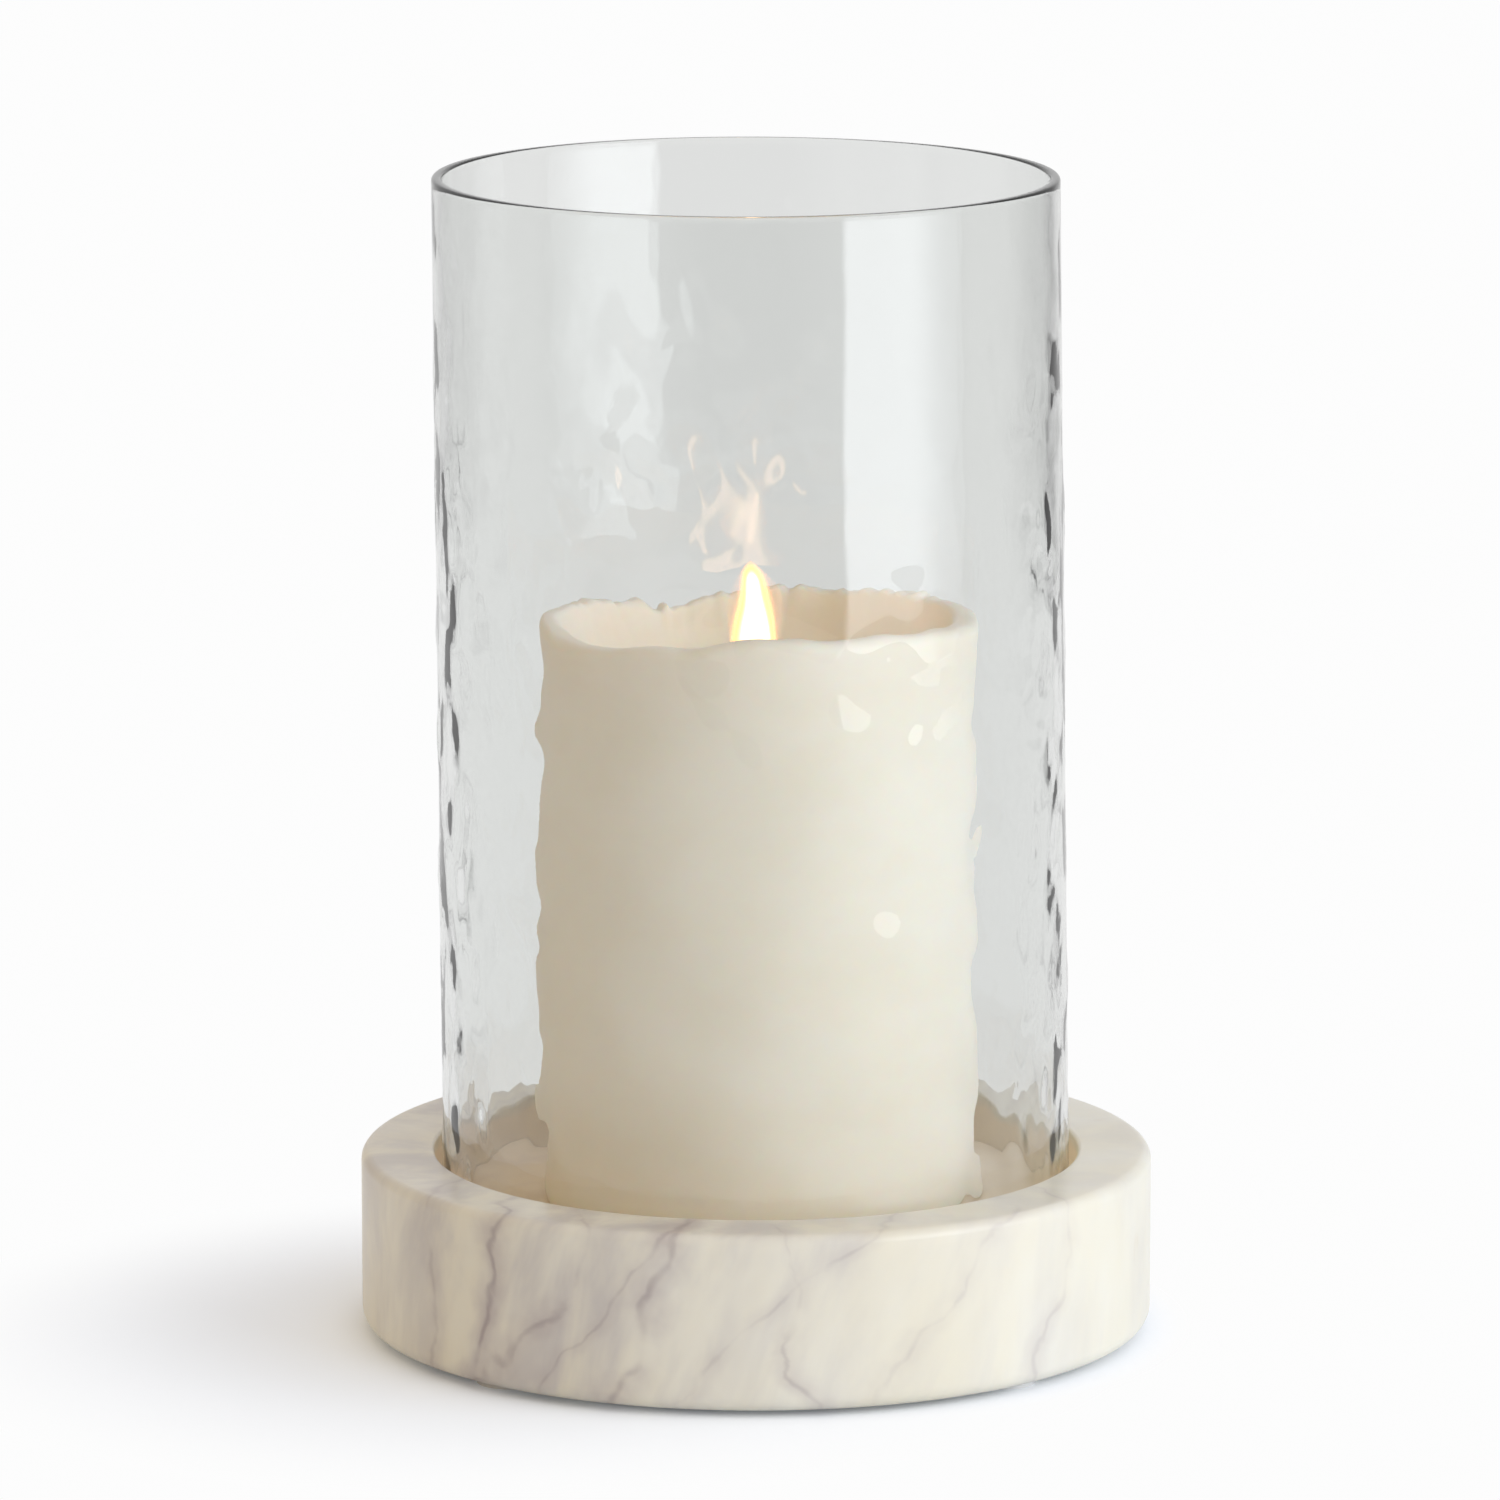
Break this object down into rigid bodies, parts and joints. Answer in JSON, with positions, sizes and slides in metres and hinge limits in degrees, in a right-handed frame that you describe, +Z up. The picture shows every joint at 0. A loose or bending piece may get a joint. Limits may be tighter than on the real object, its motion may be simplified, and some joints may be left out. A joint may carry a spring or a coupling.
{
  "type": "hurricane candle lantern",
  "caption": "Clear rippled glass cylinder standing in the recess of a round polished marble base, around a flameless wax pillar candle with a swaying flame tip.",
  "frame": {"origin": "on the table, under the middle of the base", "axes": "+Z up along the axis that base, glass and candle share; the front, as pictured, faces -Y; +X to its right"},
  "size_m": [0.184, 0.184, 0.27],
  "materials": {
    "marble": "polished cream marble with soft grey and tan veins",
    "pad": "soft bumper pad",
    "glass": "clear hand-worked glass, rippled and seeded",
    "wax": "ivory paraffin wax, satin",
    "deck": "wax-coated plastic disc",
    "flame": "translucent frosted plastic, lit",
    "magnet": "nickel-plated magnet",
    "steel": "bright steel",
    "carrier": "moulded black plastic",
    "bobbin": "natural nylon",
    "copper": "enamelled copper wire",
    "lamp": "clear cast resin",
    "cable": "insulated wire",
    "board": "green laminate",
    "chip": "black moulding",
    "can": "drawn aluminium can",
    "resistor": "lacquered ceramic",
    "housing": "moulded off-white plastic",
    "cell": "dry cell in a plain printed sleeve",
    "contact": "nickel-plated spring steel",
    "knob": "black moulding"
  },
  "bodies": {
    "base": {"marble_base": "marble", "base_pads": "pad"},
    "glass": {"glass_cylinder": "glass"},
    "candle": {"wax_shell": "wax", "flame_deck": "deck", "candle_chassis": "housing", "pivot_wire": "steel", "flame_carrier": "carrier", "carrier_screws": "steel", "coil_bobbin": "bobbin", "drive_coil": "copper", "coil_wires": "copper", "flame_lamp": "lamp", "lamp_wires": "cable", "circuit_board": "board", "board_screws": "steel", "timer_chip": "chip", "capacitor": "can", "resistors": "resistor", "cell_left": "cell", "cell_right": "cell", "positive_contact": "contact", "negative_contact": "contact", "roof_spring": "contact", "switch_case": "chip", "switch_wires": "cable"},
    "flame": {"flame_tip": "flame", "flame_magnet": "magnet"},
    "cover": {"battery_cover": "housing", "cover_jumper": "contact", "cover_spring": "contact"},
    "knob": {"switch_knob": "knob"}
  },
  "joints": [
    {"name": "glass_lift", "type": "slide", "parent": "base", "child": "glass", "axis": [0, 0, 1], "range_m": [0, 0.2]},
    {"name": "candle_lift", "type": "slide", "parent": "base", "child": "candle", "axis": [0, 0, 1], "range_m": [0, 0.25]},
    {"name": "flame_sway", "type": "hinge", "parent": "candle", "child": "flame", "pos_m": [0, 0, 0.1435], "axis": [0, 1, 0], "range_deg": [-8, 8]},
    {"name": "cover_twist", "type": "hinge", "parent": "candle", "child": "cover", "pos_m": [0, 0, 0.034], "axis": [0, 0, 1], "range_deg": [0, 30]},
    {"name": "switch_slide", "type": "slide", "parent": "candle", "child": "knob", "axis": [1, 0, 0], "range_m": [-0.002, 0.002]}
  ]
}
